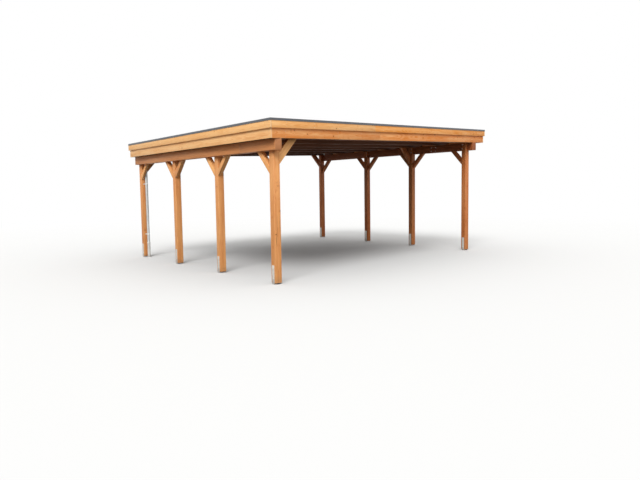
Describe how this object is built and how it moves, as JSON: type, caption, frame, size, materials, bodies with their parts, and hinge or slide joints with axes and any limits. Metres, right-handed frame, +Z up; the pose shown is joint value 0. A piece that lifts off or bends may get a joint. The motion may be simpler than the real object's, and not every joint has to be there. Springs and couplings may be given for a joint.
{
  "type": "timber carport",
  "caption": "Open flat-roofed timber carport with post rows in steel anchors, lapped side beams, knee braces, joists, a stepped fascia and a drip flashing.",
  "frame": {"origin": "on the ground under the middle of the roof outline", "axes": "+Z up, +Y along the post rows away from the open garden end, +X across from the low left row to the high right row"},
  "size_m": [6.942, 7.2606, 2.8199],
  "materials": {
    "beam_timber": "planed spruce, pine-coloured glaze",
    "brace_timber": "planed spruce, pine-coloured glaze",
    "deck_boards": "tongued boards, dark brown glaze",
    "galvanised_steel": "hot-dip galvanised, dull",
    "joist_timber": "planed spruce, dark brown glaze",
    "kerb_timber": "sawn spruce",
    "lower_board_timber": "planed boards, pine-coloured glaze",
    "post_timber": "planed spruce, pine-coloured glaze",
    "roof_sheet": "black roofing sheet, matt, dusty",
    "slate_grey_metal": "slate grey coated sheet, satin",
    "standpipe_zinc": "galvanised, pale and dull",
    "upper_board_timber": "planed boards, pine-coloured glaze",
    "weathered_zinc": "weathered zinc, dull grey"
  },
  "bodies": {
    "root": {"downpipe": "weathered_zinc", "end_kerbs": "kerb_timber", "front_flashing": "slate_grey_metal", "front_lower_fascia": "lower_board_timber", "front_rim_joist": "joist_timber", "front_upper_fascia": "upper_board_timber", "joists": "joist_timber", "left_anchors": "galvanised_steel", "left_beam_front": "beam_timber", "left_beam_rear": "beam_timber", "left_braces_1": "brace_timber", "left_braces_2": "brace_timber", "left_braces_3": "brace_timber", "left_braces_4": "brace_timber", "left_flashing": "slate_grey_metal", "left_lower_fascia": "lower_board_timber", "left_post_1": "post_timber", "left_post_2": "post_timber", "left_post_3": "post_timber", "left_post_4": "post_timber", "left_upper_fascia": "upper_board_timber", "pipe_clips": "weathered_zinc", "rear_flashing": "slate_grey_metal", "rear_lower_fascia": "lower_board_timber", "rear_rim_joist": "joist_timber", "rear_upper_fascia": "upper_board_timber", "right_anchors": "galvanised_steel", "right_beam_front": "beam_timber", "right_beam_rear": "beam_timber", "right_braces_1": "brace_timber", "right_braces_2": "brace_timber", "right_braces_3": "brace_timber", "right_braces_4": "brace_timber", "right_flashing": "slate_grey_metal", "right_lower_fascia": "lower_board_timber", "right_post_1": "post_timber", "right_post_2": "post_timber", "right_post_3": "post_timber", "right_post_4": "post_timber", "right_upper_fascia": "upper_board_timber", "roof_deck": "deck_boards", "roof_membrane": "roof_sheet", "roof_outlet": "weathered_zinc", "side_kerbs": "kerb_timber", "standpipe": "standpipe_zinc"}
  },
  "joints": []
}
